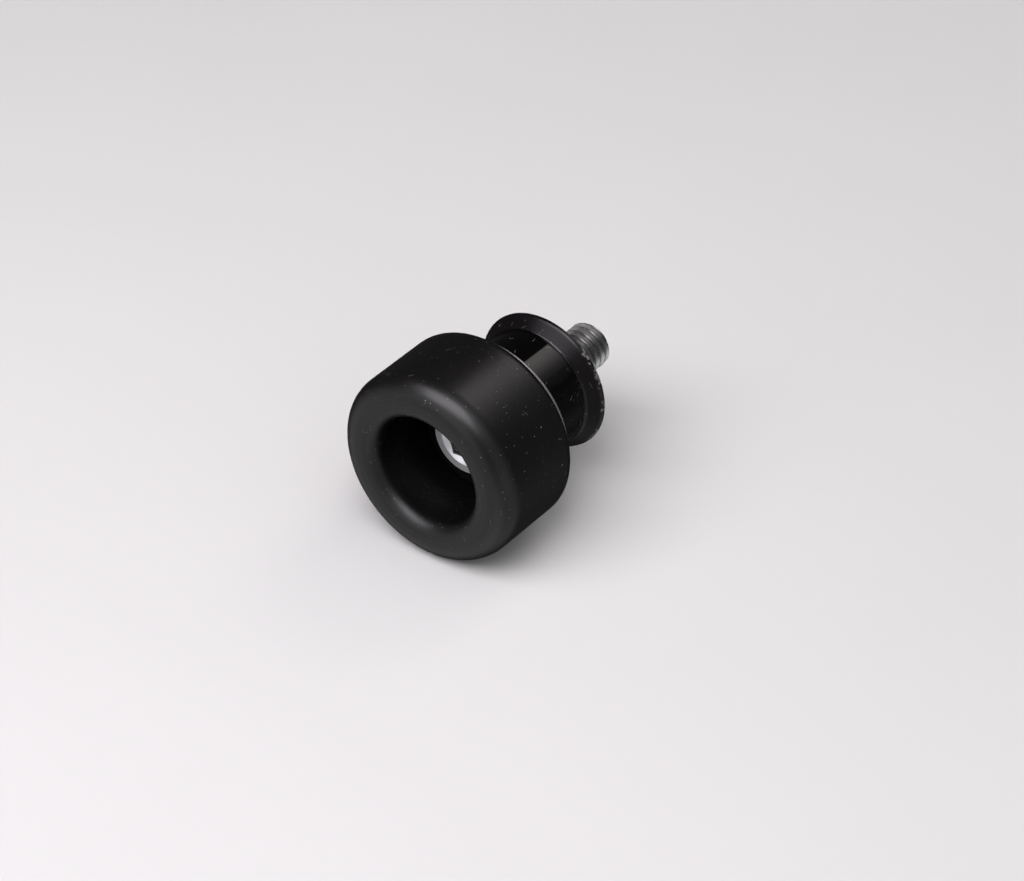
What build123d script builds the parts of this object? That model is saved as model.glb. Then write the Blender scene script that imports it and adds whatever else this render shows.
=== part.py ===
from build123d import *
from math import ceil, radians, tan
import os

# Swingarm spool: a plastic slider puck on a turned aluminium core, held to the swingarm by one cap screw.
# Millimetres. The origin is the centre of the seat on the swingarm. The axis of turning is Y: the screw's
# thread points along +Y into the swingarm, and the nose points along -Y.

# Slider puck
puck_diameter = 40.0
puck_length = 21.6
bore_diameter = 22.6
nose_radius = 4.5
rear_radius = 2.5
lip_radius = 2.9
mouth_depth = 4.7
mouth_taper_angle = 6.0
bore_chamfer = 0.6

# Core: spigot inside the puck, collar behind it, neck for the stand's hook, flange on the swingarm
puck_fit_clearance = 0.02
spigot_length = 6.3
spigot_chamfer = 0.5
collar_setback = 2.7
collar_thickness = 1.6
collar_edge_radius = 0.3
neck_diameter = 24.6
groove_width = 12.1
flange_height = 2.25
flange_cone_angle = 40.0
flange_land = 0.75
foot_radius = 0.9
rim_radius = 0.9
seat_chamfer = 0.3
hole_chamfer = 0.5

# Cap screw, 3/8 in with 16 threads to the inch and a 5/16 in hexagon socket
thread_diameter = 9.525
thread_pitch = 25.4 / 16
thread_angle = 60.0
thread_clear_of_head = 1.2
screw_length = 31.75
head_diameter = 14.29
head_height = 9.525
head_chamfer = 0.35
under_head_radius = 0.3
point_chamfer = 1.0
socket_across_flats = 7.94
socket_depth = 4.8
socket_turn = 55.0
countersink_diameter = 10.6
countersink_angle = 120.0
drill_point_angle = 118.0
drill_point_flat = 0.6

# Seat of the screw's head in the core
head_proud = 2.2
head_side_clearance = 0.4
shank_clearance = 0.4
counterbore_chamfer = 0.4

# The part of a wall that the roundings at its two ends may take together
rounded_share = 0.95

# The thread's groove: how much of the sharp V its depth and its flat crest take, how far its cutter stands
# out of the screw, and the turns that the cutter runs past the point
thread_depth_share = 17 / 24
thread_crest_share = 1 / 8
cutter_overlap = 0.08
cutter_overrun_turns = 1

# Radii
puck_r = puck_diameter / 2
bore_r = bore_diameter / 2
mouth_r = bore_r + mouth_depth * tan(radians(mouth_taper_angle))
spigot_r = bore_r - puck_fit_clearance
collar_r = puck_r - collar_setback
neck_r = neck_diameter / 2
flange_r = neck_r + flange_height
thread_r = thread_diameter / 2
head_r = head_diameter / 2
counterbore_r = head_r + head_side_clearance
shank_hole_r = thread_r + shank_clearance
socket_r = socket_across_flats / 2
countersink_r = countersink_diameter / 2

# The thread's groove in section
flank_slope = tan(radians(thread_angle / 2))
thread_depth = thread_depth_share * thread_pitch / (2 * flank_slope)
thread_root_r = thread_r - thread_depth
root_flat = thread_pitch * (1 - thread_crest_share - thread_depth_share)
cutter_r = thread_r + cutter_overlap
cutter_mouth = root_flat + 2 * (thread_depth + cutter_overlap) * flank_slope

# Stations along Y, from the seat at 0 back to the nose
cone_end_y = -flange_land
neck_end_y = cone_end_y - flange_height / tan(radians(flange_cone_angle))
collar_back_y = neck_end_y - groove_width
collar_front_y = collar_back_y - collar_thickness
nose_y = collar_front_y - puck_length
spigot_end_y = collar_front_y - spigot_length
head_top_y = spigot_end_y - head_proud
head_seat_y = head_top_y + head_height
socket_floor_y = head_top_y + socket_depth
drill_point_y = socket_floor_y + (socket_r - drill_point_flat / 2) / tan(radians(drill_point_angle / 2))
countersink_point_y = head_top_y + countersink_r / tan(radians(countersink_angle / 2))
screw_end_y = head_seat_y + screw_length
thread_start_y = head_seat_y + thread_clear_of_head
thread_turns = ceil((screw_end_y - thread_start_y) / thread_pitch) + cutter_overrun_turns

os.makedirs("parts", exist_ok=True)


def rims(part, end):
    """The circular edges of a turned part at one end of Y, 0 for the nose side and -1 for the swingarm side,
    from the smallest to the largest."""
    return part.edges().filter_by(GeomType.CIRCLE).group_by(Axis.Y)[end].sort_by(SortBy.RADIUS)


def rims_at(part, y):
    """The circular edges of a turned part in the plane at y, from the smallest to the largest."""
    return part.edges().filter_by(GeomType.CIRCLE).filter_by_position(Axis.Y, y, y).sort_by(SortBy.RADIUS)


def sharing(wall, first, second):
    """Two roundings that run in from the ends of one wall. They keep their sizes where the wall has room, and
    shrink together where it hasn't."""
    room = min(1, rounded_share * wall / (first + second))
    return first * room, second * room


# Slider puck: a turned ring, open at the nose through a rounded lip and a short taper down to its bore
nose_rounding, lip_rounding = sharing(puck_r - mouth_r, nose_radius, lip_radius)
rear_rounding, bore_bevel = sharing(puck_r - bore_r, rear_radius, bore_chamfer)
with BuildPart() as slider_puck:
    with BuildSketch(Plane.XY):
        with BuildLine():
            Polyline(
                (mouth_r, nose_y),
                (puck_r, nose_y),
                (puck_r, collar_front_y),
                (bore_r, collar_front_y),
                (bore_r, nose_y + mouth_depth),
                close=True,
            )
        make_face()
    revolve(axis=Axis.Y)
    fillet(rims(slider_puck, 0)[-1], radius=nose_rounding)
    fillet(rims(slider_puck, -1)[-1], radius=rear_rounding)
    fillet(rims(slider_puck, 0)[0], radius=lip_rounding)
    chamfer(rims(slider_puck, -1)[0], length=bore_bevel)
slider_puck.part.label = "slider_puck"
export_step(slider_puck.part, "parts/slider_puck.step")

# Core: one turned piece with the spigot that carries the puck, the collar that backs it, the neck, and the
# flange with its conical front. The rim's rounding takes rim_tangent of the land, and the seat's bevel the
# other end.
collar_rounding = sharing(collar_thickness, collar_edge_radius, collar_edge_radius)[0]
rim_turn = tan(radians(flange_cone_angle / 2))
rim_tangent, seat_bevel = sharing(flange_land, rim_radius * rim_turn, seat_chamfer)
with BuildPart() as spool_core:
    with BuildSketch(Plane.XY):
        with BuildLine():
            Polyline(
                (0, spigot_end_y),
                (spigot_r, spigot_end_y),
                (spigot_r, collar_front_y),
                (collar_r, collar_front_y),
                (collar_r, collar_back_y),
                (neck_r, collar_back_y),
                (neck_r, neck_end_y),
                (flange_r, cone_end_y),
                (flange_r, 0),
                (0, 0),
                close=True,
            )
        make_face()
    revolve(axis=Axis.Y)
    fillet(rims_at(spool_core, collar_front_y)[-1], radius=collar_rounding)
    fillet(rims_at(spool_core, collar_back_y)[-1], radius=collar_rounding)
    fillet(rims_at(spool_core, collar_back_y)[0], radius=foot_radius)
    fillet(rims_at(spool_core, neck_end_y), radius=foot_radius)
    fillet(rims_at(spool_core, cone_end_y), radius=rim_tangent / rim_turn)
    chamfer(rims(spool_core, -1)[-1], length=seat_bevel)
    chamfer(rims(spool_core, 0)[-1], length=spigot_chamfer)
    with Locations(Plane.XZ.offset(-spigot_end_y)):
        CounterBoreHole(shank_hole_r, counterbore_r, head_seat_y - spigot_end_y)
    chamfer(rims(spool_core, 0)[0], length=counterbore_chamfer)
    chamfer(rims_at(spool_core, head_seat_y)[0], length=under_head_radius)
    chamfer(rims(spool_core, -1)[0], length=hole_chamfer)
spool_core.part.label = "spool_core"
export_step(spool_core.part, "parts/spool_core.step")

# Cap screw: head and shank turned, with a countersunk hexagon socket that ends in a shallow drill point. The
# thread is a truncated V, cut turn after turn along a helix that starts clear of the head and runs past the
# screw's point.
with BuildPart() as cap_screw:
    with BuildSketch(Plane.XY):
        with BuildLine():
            Polyline(
                (0, head_top_y),
                (head_r, head_top_y),
                (head_r, head_seat_y),
                (thread_r, head_seat_y),
                (thread_r, screw_end_y),
                (0, screw_end_y),
                close=True,
            )
        make_face()
    revolve(axis=Axis.Y)
    chamfer(rims(cap_screw, 0)[-1], length=head_chamfer)
    chamfer(rims(cap_screw, -1)[-1], length=point_chamfer)
    fillet(rims_at(cap_screw, head_seat_y)[0], radius=under_head_radius)
    with BuildSketch(Plane.XZ.offset(-head_top_y)):
        RegularPolygon(socket_r, 6, major_radius=False, rotation=socket_turn)
    extrude(amount=-socket_depth, mode=Mode.SUBTRACT)
    with BuildSketch(Plane.XY):
        with BuildLine():
            Polyline(
                (0, socket_floor_y),
                (socket_r, socket_floor_y),
                (drill_point_flat / 2, drill_point_y),
                (0, drill_point_y),
                close=True,
            )
        make_face()
    revolve(axis=Axis.Y, mode=Mode.SUBTRACT)
    with BuildSketch(Plane.XY):
        with BuildLine():
            Polyline((0, head_top_y), (countersink_r, head_top_y), (0, countersink_point_y), close=True)
        make_face()
    revolve(axis=Axis.Y, mode=Mode.SUBTRACT)
    with BuildPart(mode=Mode.PRIVATE) as groove_turn:
        with BuildLine() as helix:
            Helix(
                pitch=thread_pitch,
                height=thread_pitch,
                radius=thread_r,
                center=(0, thread_start_y, 0),
                direction=(0, 1, 0),
            )
        with BuildSketch(Plane(origin=(0, thread_start_y, 0), x_dir=(0, 0, 1), z_dir=(-1, 0, 0))) as groove:
            with BuildLine():
                Polyline(
                    (thread_root_r, -root_flat / 2),
                    (thread_root_r, root_flat / 2),
                    (cutter_r, cutter_mouth / 2),
                    (cutter_r, -cutter_mouth / 2),
                    close=True,
                )
            make_face()
        sweep(sections=groove.sketch, path=helix.line, is_frenet=True)
    with Locations(*[(0, turn * thread_pitch, 0) for turn in range(thread_turns)]):
        add(groove_turn.part, mode=Mode.SUBTRACT)
cap_screw.part.label = "cap_screw"
export_step(cap_screw.part, "parts/cap_screw.step")
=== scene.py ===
from math import cos, pi, radians, sin

import bpy
from mathutils import Matrix, Quaternion, Vector


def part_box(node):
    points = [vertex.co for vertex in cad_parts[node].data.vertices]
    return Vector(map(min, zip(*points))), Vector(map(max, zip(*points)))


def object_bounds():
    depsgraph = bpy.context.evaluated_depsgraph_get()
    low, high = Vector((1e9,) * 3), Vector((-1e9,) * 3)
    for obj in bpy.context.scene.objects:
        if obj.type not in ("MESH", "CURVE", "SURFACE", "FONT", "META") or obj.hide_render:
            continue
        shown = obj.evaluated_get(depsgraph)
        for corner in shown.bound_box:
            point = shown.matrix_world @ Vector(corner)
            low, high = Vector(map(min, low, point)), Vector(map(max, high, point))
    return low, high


# Swingarm spool: the looks of its three pieces, a pale floor, soft studio light and the camera.
# Metres, in the part's own frame: the origin is the centre of the seat on the swingarm, the axis of turning
# is Y with the nose towards -Y, and +Z is up.

MM = 0.001

# The camera, fitted to the photograph
IMAGE_SIZE = (1024, 881)
NOSE_PIXEL = (420.5, 476.24)
CAMERA_AZIMUTH = radians(37.2207)
CAMERA_ELEVATION = radians(36.9933)
CAMERA_TO_NOSE = 671.41 * MM
FOCAL_PIXELS = 3600
SENSOR_WIDTH = 36.0
CLIP_NEAR = 0.01
CLIP_FAR = 20.0

# Sizes of the core and the screw that the frame's boxes don't give
NECK_R = 12.3 * MM
FLANGE_R = 14.55 * MM
COLLAR_THICKNESS = 1.6 * MM
SCREW_LENGTH = 31.75 * MM
THREAD_R = 4.7625 * MM
THREAD_ROOT_R = 3.79 * MM
KNURL_TEETH = 48
SOCKET_R = 3.97 * MM
SOCKET_TURN = radians(55)
COUNTERSINK_R = 5.3 * MM

# Where looks change on the puck's lip, going inwards from the edge of the nose's flat face
LIP_OUTER_R = 14.8 * MM
LIP_MIDDLE_R = 13.6 * MM
LIP_INNER_R = 12.6 * MM

# Where looks change along the core: the handling marks in the groove, the end of the groove's bright finish
# at the cone's foot, the flange's rim, and the seat on the swingarm
MARKS_START_Y = -10.0 * MM
MARKS_FULL_Y = -6.5 * MM
GROOVE_END_Y = -3.15 * MM
RIM_START_Y = -1.6 * MM
RIM_FULL_Y = -0.9 * MM
SEAT_START_Y = -0.35 * MM
SEAT_FULL_Y = -0.15 * MM

# Colours, as linear red, green and blue
PLASTIC_COLD = (0.0036, 0.0034, 0.0037)
PLASTIC_WARM = (0.0052, 0.0046, 0.0046)
DUST_GREY = (0.38, 0.39, 0.41)
DUST_RUST = (0.44, 0.25, 0.16)
LINT = (0.16, 0.18, 0.23)
SCRATCH = (0.05, 0.05, 0.05)
ANODISED_DARK = (0.0040, 0.0035, 0.0042)
ANODISED_LIGHT = (0.0066, 0.0052, 0.0056)
# painted light: the seat face on the swingarm is painted lighter than the rest of the anodising
SEAT_PAINTED_LIGHT = (0.020, 0.018, 0.019)
ANODISED_BRIGHT = (0.0013, 0.0010, 0.0010)
# painted highlight: pale grey for the bright line of light along the collar's edge
COLLAR_EDGE_HIGHLIGHT = (0.33, 0.32, 0.31)
HANDLING = (0.10, 0.10, 0.11)
CORE_DUST = (0.26, 0.25, 0.24)
NICK = (0.38, 0.37, 0.36)
ZINC_DARK = (0.74, 0.76, 0.79)
ZINC_LIGHT = (0.88, 0.88, 0.87)
# painted shade: the thread is painted darker than the head
THREAD_SHADE = (0.34, 0.335, 0.32)
# painted shade in the thread's roots
THREAD_ROOT = (0.10, 0.095, 0.09)
# dark grime specks on the screw, and the painted shade round the top of the hexagon socket
GRIME_AND_EDGE_SHADE = (0.08, 0.08, 0.08)
PAPER_DARK = (0.71, 0.705, 0.695)
PAPER_LIGHT = (0.74, 0.735, 0.725)
WHITE = (1.0, 1.0, 1.0)
KEY_LIGHT = (0.985, 0.945, 1.0)
BACK_LIGHT = (1.0, 0.93, 0.92)
SKY = (0.98, 0.98, 1.0)

# The studio as the object mirrors it: how bright its dark parts, the backdrop and each soft area look
ROOM = 0.03
BACKDROP = 0.62
GLOWS = (
    # azimuth from the nose towards +X, elevation, whole out to, gone beyond (degrees), radiance
    (-25, -30, 25, 70, 0.52),
    (70, -45, 15, 60, 0.42),
    (72, 12, 5, 45, 0.30),
    (-12, 22, 5, 35, 0.75),
    (55, 72, 5, 38, 0.95),
    (152, 42, 5, 30, 0.15),
    (128, -12, 5, 40, 0.04),
)
FLOOR_HALF_WIDTH = 4.0

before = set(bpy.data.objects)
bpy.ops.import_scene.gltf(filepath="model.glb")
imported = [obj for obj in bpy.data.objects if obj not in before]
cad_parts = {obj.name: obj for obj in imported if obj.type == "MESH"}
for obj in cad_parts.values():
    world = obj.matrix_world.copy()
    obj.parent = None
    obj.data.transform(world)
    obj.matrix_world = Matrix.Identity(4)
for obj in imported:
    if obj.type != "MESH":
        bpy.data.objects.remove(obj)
cad_low, cad_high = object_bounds()
puck_low, puck_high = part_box("slider_puck")
_, core_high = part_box("spool_core")
screw_low, screw_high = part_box("cap_screw")

NOSE_Y = puck_low.y
PUCK_BACK_Y = puck_high.y
PUCK_R = puck_high.x
COLLAR_BACK_Y = PUCK_BACK_Y + COLLAR_THICKNESS
COLLAR_R = core_high.x
HEAD_TOP_Y = screw_low.y
HEAD_R = screw_high.x
HEAD_SEAT_Y = screw_high.y - SCREW_LENGTH


class Nodes:
    """A node tree, with a short call for each kind of node used here."""

    def __init__(self, tree):
        self.tree = tree
        self.tree.nodes.clear()

    def add(self, kind, **settings):
        node = self.tree.nodes.new(kind)
        for name, value in settings.items():
            setattr(node, name, value)
        return node

    def put(self, socket, value):
        """Links a socket to another one, or sets it to a value."""
        if isinstance(value, bpy.types.NodeSocket):
            self.tree.links.new(value, socket)
        else:
            socket.default_value = value

    def math(self, operation, *values):
        node = self.add("ShaderNodeMath", operation=operation)
        for socket, value in zip(node.inputs, values):
            self.put(socket, value)
        return node.outputs[0]

    def times(self, first, second):
        return self.math("MULTIPLY", first, second)

    def plus(self, first, second):
        return self.math("ADD", first, second)

    def minus(self, first, second):
        return self.math("SUBTRACT", first, second)

    def either(self, first, second):
        return self.math("MAXIMUM", first, second)

    def ramp(self, value, low, high, start=0.0, end=1.0):
        """start where value is low, end where it is high, and a smooth change in between. low may be the
        larger of the two."""
        node = self.add("ShaderNodeMapRange", interpolation_type="SMOOTHSTEP")
        for socket, given in zip(node.inputs, (value, low, high, start, end)):
            self.put(socket, given)
        return node.outputs["Result"]

    def band(self, value, low, high, soft):
        """1 where value lies between low and high, and 0 a little way outside."""
        return self.times(self.ramp(value, low - soft, low), self.ramp(value, high + soft, high))

    def mix(self, share, first, second):
        """first where share is 0, second where it is 1."""
        node = self.add("ShaderNodeMix", data_type="FLOAT")
        self.put(node.inputs[0], share)
        self.put(node.inputs[2], first)
        self.put(node.inputs[3], second)
        return node.outputs[0]


class Shader(Nodes):
    """One material's nodes. Its patterns follow the object's own coordinates and its axis of turning."""

    def __init__(self, name):
        self.material = bpy.data.materials.new(name)
        self.material.use_nodes = True
        super().__init__(self.material.node_tree)
        self.surface = self.add("ShaderNodeBsdfPrincipled")
        output = self.add("ShaderNodeOutputMaterial")
        self.put(output.inputs["Surface"], self.surface.outputs["BSDF"])
        self.position = self.add("ShaderNodeTexCoord").outputs["Object"]
        split = self.add("ShaderNodeSeparateXYZ")
        self.put(split.inputs[0], self.position)
        self.x, self.y, self.z = split.outputs
        self.r = self.math("SQRT", self.plus(self.times(self.x, self.x), self.times(self.z, self.z)))
        safe_r = self.either(self.r, 0.01 * MM)
        self.across = self.math("DIVIDE", self.x, safe_r)
        self.upward = self.math("DIVIDE", self.z, safe_r)

    def blend(self, share, first, second):
        """A colour between two colours, each a socket or three numbers."""
        node = self.add("ShaderNodeMix", data_type="RGBA")
        self.put(node.inputs[0], share)
        for socket, colour in ((node.inputs[6], first), (node.inputs[7], second)):
            self.put(socket, colour if isinstance(colour, bpy.types.NodeSocket) else (*colour, 1))
        return node.outputs[2]

    def vector(self, x, y, z):
        node = self.add("ShaderNodeCombineXYZ")
        for socket, value in zip(node.inputs, (x, y, z)):
            self.put(socket, value)
        return node.outputs[0]

    def noise(self, size, detail, roughness=0.5, offset=0.0):
        """Cloudy noise from 0 to 1, with lumps of about the given size."""
        node = self.add("ShaderNodeTexNoise", noise_dimensions="4D")
        self.put(node.inputs["Vector"], self.position)
        self.put(node.inputs["W"], offset)
        self.put(node.inputs["Scale"], 1 / size)
        self.put(node.inputs["Detail"], detail)
        self.put(node.inputs["Roughness"], roughness)
        return node.outputs[0]

    def turning(self, pitch, reach, detail=3.0, offset=0.0):
        """Rings round the axis as a lathe tool leaves them, about pitch apart. Each fades along its circle,
        the sooner the larger reach is."""
        node = self.add("ShaderNodeTexNoise", noise_dimensions="4D")
        along = self.times(self.y, 1 / pitch)
        outward = self.times(self.r, 1 / pitch)
        self.put(node.inputs["Vector"], self.vector(outward, along, self.times(self.across, reach)))
        self.put(node.inputs["W"], self.plus(self.times(self.upward, reach), offset))
        self.put(node.inputs["Scale"], 1.0)
        self.put(node.inputs["Detail"], detail)
        self.put(node.inputs["Roughness"], 0.6)
        return node.outputs[0]

    def cells(self, size, offset):
        """Scattered points about size apart: the way to the nearest one, its distance and three random
        numbers. The offset moves the pattern, by a different part of itself along each axis."""
        node = self.add("ShaderNodeTexVoronoi", voronoi_dimensions="3D", feature="F1")
        moved = self.add("ShaderNodeVectorMath", operation="ADD")
        self.put(moved.inputs[0], self.position)
        self.put(moved.inputs[1], (offset * size, 0.37 * offset * size, 0.71 * offset * size))
        self.put(node.inputs["Vector"], moved.outputs[0])
        self.put(node.inputs["Scale"], 1 / size)
        self.put(node.inputs["Randomness"], 1.0)
        way = self.add("ShaderNodeVectorMath", operation="SUBTRACT")
        self.put(way.inputs[0], moved.outputs[0])
        self.put(way.inputs[1], node.outputs["Position"])
        length = self.add("ShaderNodeVectorMath", operation="LENGTH")
        self.put(length.inputs[0], way.outputs[0])
        chance = self.add("ShaderNodeSeparateColor")
        self.put(chance.inputs[0], node.outputs["Color"])
        return way.outputs[0], length.outputs["Value"], chance.outputs

    def specks(self, size, radius, share, offset):
        """1 inside small round grains of dust, on that share of points that lie about size apart. The grains
        are from 0.35 to 1.15 times radius in size."""
        _, distance, chance = self.cells(size, offset)
        reach = self.times(self.plus(self.times(chance[1], 0.8), 0.35), radius)
        grain = self.ramp(self.math("DIVIDE", distance, reach), 1.0, 0.6)
        return self.times(grain, self.math("LESS_THAN", chance[0], share))

    def strands(self, size, length, width, curl, share, offset):
        """1 on short thin lines that lie on the surface, each turned its own way and bent by curl, on that
        share of points that lie about size apart. length and width are measured from the line's middle."""
        way, _, chance = self.cells(size, offset)
        split = self.add("ShaderNodeSeparateXYZ")
        self.put(split.inputs[0], way)
        dx, dy, dz = split.outputs
        around = self.minus(self.times(dz, self.across), self.times(dx, self.upward))
        outward = self.plus(self.times(dx, self.across), self.times(dz, self.upward))
        along = self.plus(dy, outward)
        turn = self.times(chance[1], 2 * pi)
        c, s = self.math("COSINE", turn), self.math("SINE", turn)
        u = self.plus(self.times(around, c), self.times(along, s))
        v = self.minus(self.times(along, c), self.times(around, s))
        bend = self.times(self.minus(chance[2], 0.5), curl / length)
        off = self.math("ABSOLUTE", self.minus(v, self.times(self.times(u, u), bend)))
        thin = self.ramp(off, width, 0.4 * width)
        short = self.ramp(self.math("ABSOLUTE", u), length, 0.8 * length)
        return self.times(self.times(thin, short), self.math("LESS_THAN", chance[0], share))

    def across_flats(self, turn):
        """Half the width across flats of the hexagon round the axis that a point lies on. One of its corners
        is turned that far from +X towards +Z."""
        widest = None
        for side in range(3):
            normal = turn + radians(30 + 60 * side)
            way = self.plus(self.times(self.x, cos(normal)), self.times(self.z, sin(normal)))
            reach = self.math("ABSOLUTE", way)
            widest = reach if widest is None else self.either(widest, reach)
        return widest

    def height(self, *layers):
        """Bumps the surface by layers of (value, height in metres)."""
        total = None
        for value, size in layers:
            layer = self.times(value, size)
            total = layer if total is None else self.plus(total, layer)
        node = self.add("ShaderNodeBump")
        node.inputs["Strength"].default_value = 1.0
        node.inputs["Distance"].default_value = 1.0
        self.put(node.inputs["Height"], total)
        self.put(self.surface.inputs["Normal"], node.outputs[0])

    def finish(self, colour, roughness, metallic=0.0, ior=1.5, specular=0.5):
        """Wires the surface up and gives the finished material."""
        self.put(self.surface.inputs["Base Color"], colour)
        self.put(self.surface.inputs["Roughness"], roughness)
        self.put(self.surface.inputs["Metallic"], metallic)
        self.put(self.surface.inputs["Specular IOR Level"], specular)
        self.surface.inputs["IOR"].default_value = ior
        return self.material


def puck_dust(s):
    """1 in grains of dust, many small ones and fewer large ones."""
    small = s.specks(0.9 * MM, radius=0.10 * MM, share=0.8, offset=1.0)
    large = s.specks(2.4 * MM, radius=0.15 * MM, share=0.5, offset=2.0)
    return s.either(small, large)


def puck_colour(s, cloud, inside, dust, lint):
    """Nearly black, with grey and rust coloured dust, lint and scratches. The bore shows less of them."""
    outside = s.minus(1.0, inside)
    scratches = s.strands(7 * MM, length=2.4 * MM, width=0.02 * MM, curl=0.2, share=0.35, offset=5.0)
    rusty = s.ramp(s.noise(2 * MM, detail=2.0, offset=9.0), 0.55, 0.7)
    plain = s.blend(cloud, PLASTIC_COLD, PLASTIC_WARM)
    layered = s.blend(s.times(dust, s.mix(outside, 0.15, 0.6)), plain, s.blend(rusty, DUST_GREY, DUST_RUST))
    linty = s.blend(s.times(lint, s.times(outside, 0.45)), layered, LINT)
    return s.blend(s.times(scratches, 0.3), linty, SCRATCH)


def puck_plastic():
    """Turned black plastic: satin, with faint lathe rings, dust, lint and a few light scratches."""
    s = Shader("puck_plastic")

    # Places: the lip, the bore, the side, the side's rear part and its rounded rear edge
    lip = s.ramp(s.r, LIP_OUTER_R, LIP_MIDDLE_R)
    deep = s.ramp(s.y, NOSE_Y + 1.5 * MM, NOSE_Y + 3.5 * MM)
    inside = s.times(s.ramp(s.r, LIP_MIDDLE_R, LIP_INNER_R), deep)
    side = s.ramp(s.r, PUCK_R - 1 * MM, PUCK_R - 0.3 * MM)
    rear = s.times(side, s.ramp(s.y, PUCK_BACK_Y - 14 * MM, PUCK_BACK_Y - 4 * MM))
    heel = s.times(side, s.ramp(s.y, PUCK_BACK_Y - 2.0 * MM, PUCK_BACK_Y - 1.2 * MM))

    # Patterns
    rings = s.turning(0.09 * MM, reach=0.5)
    coarse = s.turning(0.28 * MM, reach=1.2, detail=1.0, offset=7.0)
    grain = s.noise(0.06 * MM, detail=3.0, roughness=0.6)
    cloud = s.noise(6 * MM, detail=3.0, roughness=0.55, offset=2.0)
    dust = puck_dust(s)
    lint = s.strands(5.5 * MM, length=0.7 * MM, width=0.06 * MM, curl=1.2, share=0.3, offset=3.0)

    satin = s.plus(s.mix(cloud, 0.31, 0.36), s.times(s.minus(rings, 0.5), 0.08))
    turned = s.mix(inside, s.mix(lip, satin, 0.42), 0.27)
    roughness = s.mix(s.either(dust, lint), turned, 0.8)
    furrows = s.either(s.mix(inside, 0.1, 4.5), s.plus(s.times(side, 1.5), s.times(rear, 2.2)))
    s.height(
        (s.times(rings, s.mix(lip, 0.35, 1.6)), 0.006 * MM),
        (s.times(coarse, furrows), 0.012 * MM),
        (grain, 0.003 * MM),
        (dust, 0.03 * MM),
        (lint, 0.02 * MM),
    )
    colour = puck_colour(s, cloud, inside, dust, lint)
    return s.finish(colour, roughness, ior=1.49, specular=s.mix(s.either(inside, heel), 0.5, 0.1))


def core_dust(s):
    """1 in grains of dust, many small ones and fewer large ones."""
    small = s.specks(1.2 * MM, radius=0.08 * MM, share=0.6, offset=1.0)
    large = s.specks(2.6 * MM, radius=0.13 * MM, share=0.6, offset=2.0)
    return s.either(small, large)


def rim_nicks(s, rim):
    """1 in the nicks on the flange's rim, which are on its +X side."""
    knocked = s.times(rim, s.ramp(s.across, 0.35, 0.65))
    return s.times(knocked, s.ramp(s.noise(1.4 * MM, detail=4.0, roughness=0.65, offset=4.0), 0.53, 0.60))


def handling_marks(s, groove):
    """1 in speckled marks on the groove's +X side, in its half near the flange."""
    touched = s.times(s.ramp(s.across, 0.5, 0.8), s.ramp(s.y, MARKS_START_Y, MARKS_FULL_Y))
    patches = s.ramp(s.noise(1.6 * MM, detail=2.0, offset=6.0), 0.46, 0.62)
    speckles = s.ramp(s.noise(0.5 * MM, detail=5.0, roughness=0.8, offset=8.0), 0.50, 0.72)
    return s.times(s.times(s.times(groove, touched), patches), speckles)


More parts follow.
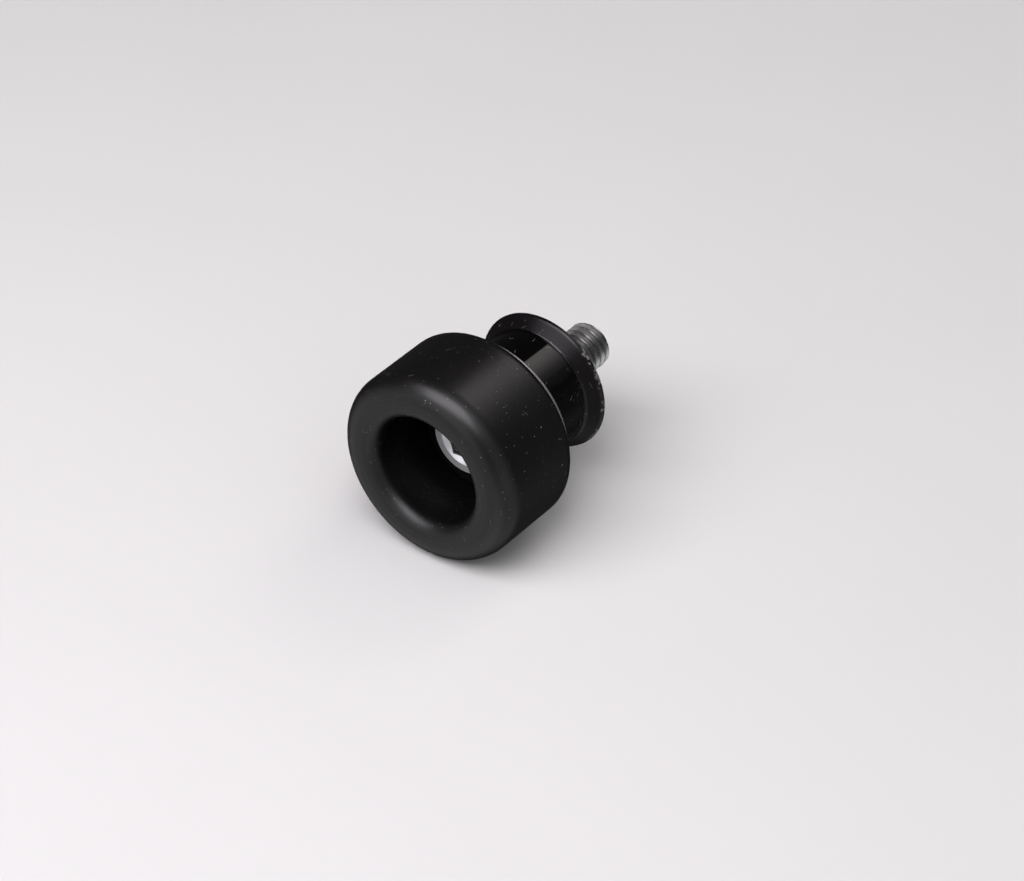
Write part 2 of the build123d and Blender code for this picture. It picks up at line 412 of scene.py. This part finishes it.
def core_black():
    """Black anodised aluminium: mirror bright in the groove and satin elsewhere. A painted highlight, pale
    grey and part metallic, runs along the collar's edge, and the seat face is painted lighter as painted
    light."""
    s = Shader("core_black_aluminium")

    # Places: the groove, the collar's edge, the flange's rim and the seat on the swingarm
    groove = s.times(
        s.ramp(s.r, NECK_R + 0.40 * MM, NECK_R + 0.24 * MM),
        s.band(s.y, COLLAR_BACK_Y, GROOVE_END_Y, 0.1 * MM),
    )
    collar = s.times(
        s.ramp(s.r, COLLAR_R - 1.6 * MM, COLLAR_R - 0.8 * MM),
        s.ramp(s.y, COLLAR_BACK_Y + 0.6 * MM, COLLAR_BACK_Y + 0.2 * MM),
    )
    rim = s.times(
        s.ramp(s.r, FLANGE_R - 0.5 * MM, FLANGE_R - 0.1 * MM),
        s.ramp(s.y, RIM_START_Y, RIM_FULL_Y),
    )
    seat = s.ramp(s.y, SEAT_START_Y, SEAT_FULL_Y)

    # Patterns
    rings = s.turning(0.05 * MM, reach=0.4)
    coarse = s.turning(0.2 * MM, reach=0.8, offset=5.0)
    grain = s.noise(0.04 * MM, detail=3.0, roughness=0.6)
    cloud = s.noise(4 * MM, detail=3.0, roughness=0.55, offset=1.0)
    dust = core_dust(s)
    lint = s.strands(3.6 * MM, length=0.6 * MM, width=0.035 * MM, curl=1.5, share=0.4, offset=3.0)
    nicks = rim_nicks(s, rim)
    marks = handling_marks(s, groove)

    satin = s.blend(cloud, ANODISED_DARK, ANODISED_LIGHT)
    # painted light: the seat face is painted lighter; the groove keeps its own darker polished black
    plain = s.blend(groove, s.blend(seat, satin, SEAT_PAINTED_LIGHT), ANODISED_BRIGHT)
    # painted highlight: the collar's edge is painted pale grey for the bright line of light along it
    collar_highlighted = s.blend(collar, plain, COLLAR_EDGE_HIGHLIGHT)
    marked = s.blend(s.times(marks, 0.55), collar_highlighted, HANDLING)
    layered = s.blend(s.times(s.either(dust, lint), 0.7), marked, CORE_DUST)
    colour = s.blend(s.times(nicks, 0.4), layered, NICK)

    turned = s.plus(s.mix(seat, s.mix(cloud, 0.28, 0.34), 0.5), s.times(s.minus(rings, 0.5), 0.12))
    polished = s.mix(groove, s.mix(rim, turned, 0.2), 0.06)
    roughness = s.mix(s.either(s.either(dust, nicks), marks), s.mix(collar, polished, 0.33), 0.6)
    s.height(
        (s.times(rings, s.mix(groove, 1.0, 0.02)), 0.010 * MM),
        (s.times(coarse, s.mix(groove, 1.0, 0.03)), 0.012 * MM),
        (s.times(grain, s.mix(groove, 1.0, 0.1)), 0.0015 * MM),
        (dust, 0.02 * MM),
        (nicks, -0.015 * MM),
    )
    specular = s.mix(s.either(groove, s.either(rim, seat)), 0.17, 0.5)
    # the collar's edge is part metallic too, as part of its painted highlight
    return s.finish(colour, roughness, metallic=s.times(collar, 0.55), ior=1.42, specular=specular)


def head_knurl(s):
    """Ridges along the side of the screw's head, between 0 and 1."""
    side = s.times(
        s.ramp(s.r, HEAD_R - 0.06 * MM, HEAD_R - 0.01 * MM),
        s.band(s.y, HEAD_TOP_Y + 1.0 * MM, HEAD_SEAT_Y - 1.3 * MM, 0.2 * MM),
    )
    turn = s.math("ARCTAN2", s.z, s.x)
    return s.times(side, s.math("ABSOLUTE", s.math("SINE", s.times(turn, KNURL_TEETH / 2))))


def hexagon_edge_shade(s):
    """1 on a narrow line round the top of the hexagon socket, which is painted dark as painted shade."""
    line = s.band(s.across_flats(SOCKET_TURN), SOCKET_R - 0.05 * MM, SOCKET_R + 0.22 * MM, 0.05 * MM)
    return s.times(line, s.ramp(s.y, HEAD_TOP_Y + 1.2 * MM, HEAD_TOP_Y + 0.9 * MM))


def screw_steel():
    """Zinc plated steel: bright and slightly mottled, matt on the ring round the countersink, knurled round
    its head and specked with grime. Painted shade: dark round the hexagon, a darker grey over the thread and
    darker still in the thread's roots."""
    s = Shader("screw_steel")

    # Places: the thread, its roots, and the ring round the countersink
    thread = s.ramp(s.y, HEAD_SEAT_Y + 0.5 * MM, HEAD_SEAT_Y + 1.0 * MM)
    root = s.times(thread, s.ramp(s.r, THREAD_R - 0.3 * MM, THREAD_ROOT_R + 0.1 * MM))
    top = s.ramp(s.y, HEAD_TOP_Y + 0.3 * MM, HEAD_TOP_Y + 0.1 * MM)
    ring = s.times(top, s.ramp(s.r, COUNTERSINK_R - 0.1 * MM, COUNTERSINK_R + 0.1 * MM))

    # Patterns
    rings = s.turning(0.06 * MM, reach=0.6)
    grain = s.noise(0.05 * MM, detail=3.0, roughness=0.6)
    cloud = s.noise(1.6 * MM, detail=4.0, roughness=0.6, offset=1.0)
    grime = s.specks(0.5 * MM, radius=0.06 * MM, share=0.3, offset=1.0)

    plain = s.blend(cloud, ZINC_DARK, ZINC_LIGHT)
    # painted shade: the thread is painted a darker grey than the head
    thread_shaded = s.blend(s.times(thread, 0.6), plain, THREAD_SHADE)
    # painted shade: the thread's roots are painted darker still
    layered = s.blend(s.times(root, 0.6), thread_shaded, THREAD_ROOT)
    # grime specks, and a line of painted shade round the top of the hexagon socket
    colour = s.blend(s.either(s.times(grime, 0.6), hexagon_edge_shade(s)), layered, GRIME_AND_EDGE_SHADE)
    bright = s.mix(ring, s.mix(cloud, 0.34, 0.44), 0.58)
    roughness = s.mix(thread, bright, s.plus(s.mix(cloud, 0.22, 0.32), s.times(root, 0.15)))
    s.height((rings, 0.003 * MM), (grain, 0.002 * MM), (cloud, 0.006 * MM), (head_knurl(s), 0.2 * MM))
    return s.finish(colour, roughness, metallic=1.0)


def floor_paper():
    """Pale matt studio paper."""
    s = Shader("floor_paper")
    cloud = s.noise(60 * MM, detail=4.0, roughness=0.6)
    grain = s.noise(0.8 * MM, detail=3.0, roughness=0.6)
    s.height((grain, 0.02 * MM))
    return s.finish(s.blend(cloud, PAPER_DARK, PAPER_LIGHT), roughness=0.9, ior=1.35)


def dress_node(name, material):
    """Gives a CAD node its finish."""
    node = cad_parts[name]
    node.data.materials.clear()
    node.data.materials.append(material)


def add_floor(material):
    """A wide plane under the puck's lowest line. The object mirrors the studio's glows in its place."""
    half = FLOOR_HALF_WIDTH
    mesh = bpy.data.meshes.new("floor")
    level = cad_low.z
    corners = [(x * half, y * half, level) for x, y in ((-1, -1), (1, -1), (1, 1), (-1, 1))]
    mesh.from_pydata(corners, [], [(0, 1, 2, 3)])
    mesh.materials.append(material)
    floor = bpy.data.objects.new("floor", mesh)
    floor.visible_glossy = False
    bpy.context.scene.collection.objects.link(floor)


def towards(azimuth, elevation):
    """The direction that lies that many degrees from the nose towards +X and above the floor."""
    a, e = radians(azimuth), radians(elevation)
    return Vector((sin(a) * cos(e), -cos(a) * cos(e), sin(e)))


def add_softbox(name, direction, distance, width, height, radiance, colour=WHITE, roll=0):
    """A rectangular light that faces the middle of the object. radiance is how bright its face looks. roll,
    in degrees, lifts the end that is on the right for one who looks along the light."""
    light = bpy.data.lights.new(name, "AREA")
    light.shape = "RECTANGLE"
    light.size, light.size_y = width, height
    light.energy = radiance * pi * width * height
    light.color = colour
    softbox = bpy.data.objects.new(name, light)
    middle = (cad_low + cad_high) / 2
    softbox.location = middle + direction * distance
    turn = Quaternion((0, 0, 1), radians(roll))
    softbox.rotation_euler = (direction.to_track_quat("Z", "Y") @ turn).to_euler()
    bpy.context.scene.collection.objects.link(softbox)
    return softbox


def fade_across(light, dimmest):
    """Dims a light's face from one end of its width, where it keeps its brightness, to the other, where that
    share of it is left."""
    light.use_nodes = True
    face = Nodes(light.node_tree)
    place = face.add("ShaderNodeSeparateXYZ")
    face.put(place.inputs[0], face.add("ShaderNodeNewGeometry").outputs["Parametric"])
    emission = face.add("ShaderNodeEmission")
    face.put(emission.inputs["Strength"], face.ramp(place.outputs[0], 0.05, 0.85, start=dimmest))
    face.put(face.add("ShaderNodeOutputLight").inputs["Surface"], emission.outputs[0])


def add_lights():
    """A large softbox above the nose, a smaller one behind that dims to one side, and a wide fill light on
    the floor and the object, which glossy surfaces don't show."""
    add_softbox("key", towards(-5, 55), distance=0.60, width=0.60, height=0.38, radiance=4.7,
                colour=KEY_LIGHT, roll=18)
    back = add_softbox("back", towards(161, 50), distance=0.60, width=0.38, height=0.30, radiance=1.8,
                       colour=BACK_LIGHT)
    fade_across(back.data, dimmest=0.08)
    fill = add_softbox("fill", towards(75, 58), distance=3.5, width=6.0, height=6.0, radiance=0.36)
    fill.visible_glossy = False


def add_world():
    """A dim room with a few soft glows, and a pale backdrop where the camera looks past the floor."""
    world = bpy.data.worlds.new("studio")
    world.use_nodes = True
    bpy.context.scene.world = world
    sky = Nodes(world.node_tree)
    way = sky.add("ShaderNodeTexCoord").outputs["Generated"]
    brightness = ROOM
    for azimuth, elevation, whole, gone, radiance in GLOWS:
        nearness = sky.add("ShaderNodeVectorMath", operation="DOT_PRODUCT")
        sky.put(nearness.inputs[0], way)
        sky.put(nearness.inputs[1], towards(azimuth, elevation))
        share = sky.ramp(nearness.outputs["Value"], cos(radians(gone)), cos(radians(whole)))
        brightness = sky.plus(sky.times(share, radiance), brightness)
    seen = sky.add("ShaderNodeLightPath").outputs["Is Camera Ray"]
    background = sky.add("ShaderNodeBackground")
    background.inputs["Color"].default_value = (*SKY, 1)
    sky.put(background.inputs["Strength"], sky.mix(seen, brightness, BACKDROP))
    sky.put(sky.add("ShaderNodeOutputWorld").inputs["Surface"], background.outputs[0])


def add_camera():
    """The photograph's camera: it looks from above and from the nose's right, and the nose's centre falls on
    NOSE_PIXEL."""
    a, e = CAMERA_AZIMUTH, CAMERA_ELEVATION
    right = Vector((cos(a), sin(a), 0))
    up = Vector((-sin(a) * sin(e), cos(a) * sin(e), cos(e)))
    back = right.cross(up)
    metres_per_pixel = CAMERA_TO_NOSE / FOCAL_PIXELS
    sideways = (NOSE_PIXEL[0] - IMAGE_SIZE[0] / 2) * metres_per_pixel
    downward = (NOSE_PIXEL[1] - IMAGE_SIZE[1] / 2) * metres_per_pixel
    nose = Vector((0, NOSE_Y, 0))
    data = bpy.data.cameras.new("camera")
    data.sensor_width = SENSOR_WIDTH
    data.lens = SENSOR_WIDTH * FOCAL_PIXELS / IMAGE_SIZE[0]
    data.clip_start = CLIP_NEAR
    data.clip_end = CLIP_FAR
    camera = bpy.data.objects.new("camera", data)
    camera.location = nose + back * CAMERA_TO_NOSE - right * sideways + up * downward
    camera.rotation_euler = Matrix((right, up, back)).transposed().to_euler()
    bpy.context.scene.collection.objects.link(camera)
    bpy.context.scene.camera = camera


dress_node("slider_puck", puck_plastic())
dress_node("spool_core", core_black())
dress_node("cap_screw", screw_steel())
add_floor(floor_paper())
add_lights()
add_world()
add_camera()
bpy.context.scene.view_settings.view_transform = "Standard"
